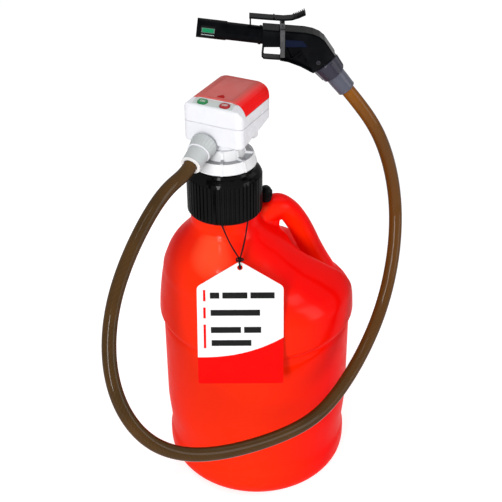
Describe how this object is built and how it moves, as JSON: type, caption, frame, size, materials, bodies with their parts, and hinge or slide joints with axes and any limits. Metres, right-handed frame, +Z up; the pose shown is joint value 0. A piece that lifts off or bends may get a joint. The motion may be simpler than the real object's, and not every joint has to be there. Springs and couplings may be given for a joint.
{
  "type": "battery transfer pump on a fuel jug",
  "caption": "Battery transfer pump on a round jug with a screw adapter, intake tube, stiff hose and auto-stop nozzle.",
  "frame": {"origin": "centre of the jug's flat base, on the floor", "axes": "+Z up along the jug's axis; the neck lies off the axis, and the handle points 30 degrees from +X towards +Y"},
  "size_m": [0.3746, 0.4293, 0.6875],
  "materials": {
    "jug_red": "satin, slightly see-through",
    "black_gloss": "gloss",
    "black_matt": "matt",
    "white_gloss": "gloss",
    "white_matt": "matt",
    "cover_red": "gloss",
    "plate_red": "matt",
    "label_silver": "satin",
    "button_green": "gloss",
    "button_red": "gloss",
    "board_green": "satin",
    "cell_wrap": "gloss",
    "steel": "brushed",
    "brass": "turned",
    "rubber_black": "matt",
    "outlet_grey": "satin",
    "hose_vinyl": "glossy, see-through",
    "nozzle_black": "gloss",
    "collar_grey": "satin",
    "window_blue": "gloss",
    "label_green": "satin",
    "card_white": "satin",
    "string_black": "twisted"
  },
  "bodies": {
    "base": {"jug_shell": "jug_red", "vent_seat": "black_matt", "nut_washer": "rubber_black", "lower_housing": "white_gloss", "upper_housing": "white_gloss", "housing_screws": "steel", "control_label": "label_silver", "switch_board": "board_green", "on_switch": "black_matt", "off_switch": "black_matt", "battery_tray": "white_matt", "battery_1": "cell_wrap", "battery_2": "cell_wrap", "battery_3": "cell_wrap", "battery_4": "cell_wrap", "battery_contacts": "steel", "motor_cup": "white_matt", "cup_screws": "steel", "motor": "steel", "shaft_seal": "rubber_black", "shaft_guides": "white_matt", "intake_tube": "white_matt", "strainer": "white_matt", "outlet_sleeve": "outlet_grey", "outlet_ring": "white_matt", "hose": "hose_vinyl", "hose_barb": "collar_grey", "hose_sleeve": "collar_grey", "nozzle_front_shell": "nozzle_black", "nozzle_rear_shell": "nozzle_black", "nozzle_window": "window_blue", "nozzle_screw": "steel", "rim_hook": "black_matt", "spout": "nozzle_black", "spout_tip": "nozzle_black", "spout_label": "label_green", "sensor_tube": "nozzle_black", "clip_pin": "steel", "clip_strap": "black_matt", "tag_string": "string_black"},
    "vent_cap": {"vent_cap": "black_matt"},
    "adapter": {"adapter_cap": "black_gloss", "adapter_gasket": "rubber_black"},
    "cap_nut": {"cap_nut": "white_gloss"},
    "battery_cover": {"battery_cover": "cover_red", "cover_plate": "plate_red", "cover_latch": "cover_red"},
    "on_button": {"on_button": "button_green"},
    "off_button": {"off_button": "button_red"},
    "rotor": {"drive_shaft": "steel", "shaft_coupling": "brass", "impeller": "white_matt"},
    "outlet_collar": {"outlet_collar": "outlet_grey"},
    "clip_lever": {"clip_lever": "nozzle_black"},
    "hose_collar": {"hose_collar": "collar_grey"},
    "tag": {"tag_card": "card_white"}
  },
  "joints": [
    {"name": "vent_turn", "type": "hinge", "parent": "base", "child": "vent_cap", "pos_m": [0.01299, 0.0075, 0.418], "axis": [0, 0, 1], "range_deg": [0, 360]},
    {"name": "adapter_turn", "type": "hinge", "parent": "base", "child": "adapter", "pos_m": [-0.04027, -0.02325, 0.45], "axis": [0, 0, 1], "range_deg": [0, 360]},
    {"name": "nut_turn", "type": "hinge", "parent": "base", "child": "cap_nut", "pos_m": [-0.04027, -0.02325, 0.5], "axis": [0, 0, 1], "range_deg": [0, 360]},
    {"name": "cover_slide", "type": "slide", "parent": "base", "child": "battery_cover", "axis": [0.4462, 0.8949, 0], "range_m": [0, 0.06]},
    {"name": "on_press", "type": "slide", "parent": "base", "child": "on_button", "axis": [0.1305, 0.2617, -0.9563], "range_m": [0, 0.0012], "stiffness_N_per_m": 400, "springref_m": -0.0003},
    {"name": "off_press", "type": "slide", "parent": "base", "child": "off_button", "axis": [0.1305, 0.2617, -0.9563], "range_m": [0, 0.0012], "stiffness_N_per_m": 400, "springref_m": -0.0003},
    {"name": "rotor_spin", "type": "hinge", "parent": "base", "child": "rotor", "pos_m": [-0.04027, -0.02325, 0.05], "axis": [0, 0, 1], "continuous": true},
    {"name": "outlet_collar_turn", "type": "hinge", "parent": "base", "child": "outlet_collar", "pos_m": [-0.06126, -0.04742, 0.531], "axis": [-0.4179, -0.8383, -0.3502], "range_deg": [0, 360]},
    {"name": "clip_squeeze", "type": "hinge", "parent": "base", "child": "clip_lever", "pos_m": [0.0325, -0.02, 0.672], "axis": [0, 1, 0], "range_deg": [0, 12], "stiffness_Nm_per_rad": 0.2, "springref_deg": -5.73},
    {"name": "hose_collar_turn", "type": "hinge", "parent": "base", "child": "hose_collar", "pos_m": [0.0832, -0.02, 0.6235], "axis": [0.6293, 0, -0.7771], "range_deg": [0, 360]},
    {"name": "tag_swing", "type": "hinge", "parent": "base", "child": "tag", "pos_m": [-0.0205, -0.10713, 0.38394], "axis": [-1, 0, 0], "range_deg": [0, 30]}
  ]
}
